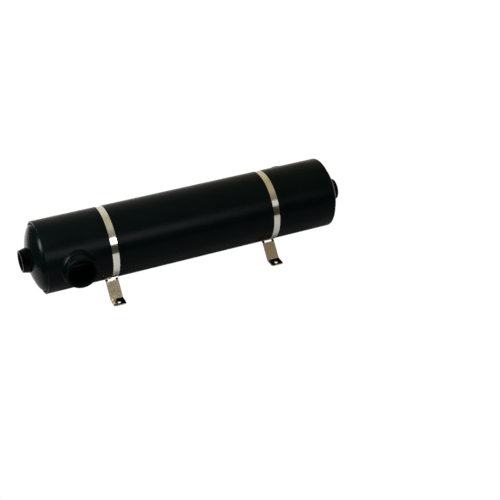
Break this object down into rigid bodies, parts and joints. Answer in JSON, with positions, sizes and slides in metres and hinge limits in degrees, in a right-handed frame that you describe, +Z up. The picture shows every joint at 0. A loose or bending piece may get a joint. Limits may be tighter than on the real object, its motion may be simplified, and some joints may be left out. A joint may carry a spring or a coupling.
{
  "type": "shell and tube heat exchanger",
  "caption": "Shell and tube heat exchanger: a black tube shell with domed ends, axial nozzles, offset side ports and an inner bundle of straight tubes, strapped to low saddle brackets.",
  "frame": {"origin": "on the floor, under the middle of the shell", "axes": "+X along the shell towards the right end, -Y to the front with the left end's side port, +Z up"},
  "size_m": [0.6608, 0.172, 0.1693],
  "materials": {
    "black_moulded_plastic": "satin",
    "bright_stainless": "satin",
    "strap_stainless": "polished"
  },
  "bodies": {
    "root": {"shell": "black_moulded_plastic", "end_caps": "black_moulded_plastic", "nozzles": "black_moulded_plastic", "nozzle_sleeves": "bright_stainless", "side_ports": "black_moulded_plastic", "tube_plates": "bright_stainless", "tube_row_1": "bright_stainless", "tube_row_2": "bright_stainless", "tube_row_3": "bright_stainless", "tube_row_4": "bright_stainless", "tube_row_5": "bright_stainless", "tube_row_6": "bright_stainless", "tube_row_7": "bright_stainless", "rod_baffle_1": "bright_stainless", "rod_baffle_2": "bright_stainless", "rod_baffle_3": "bright_stainless", "rod_baffle_4": "bright_stainless", "rod_baffle_5": "bright_stainless", "straps": "strap_stainless", "strap_locks": "strap_stainless", "left_bracket": "strap_stainless", "right_bracket": "strap_stainless"}
  },
  "joints": []
}
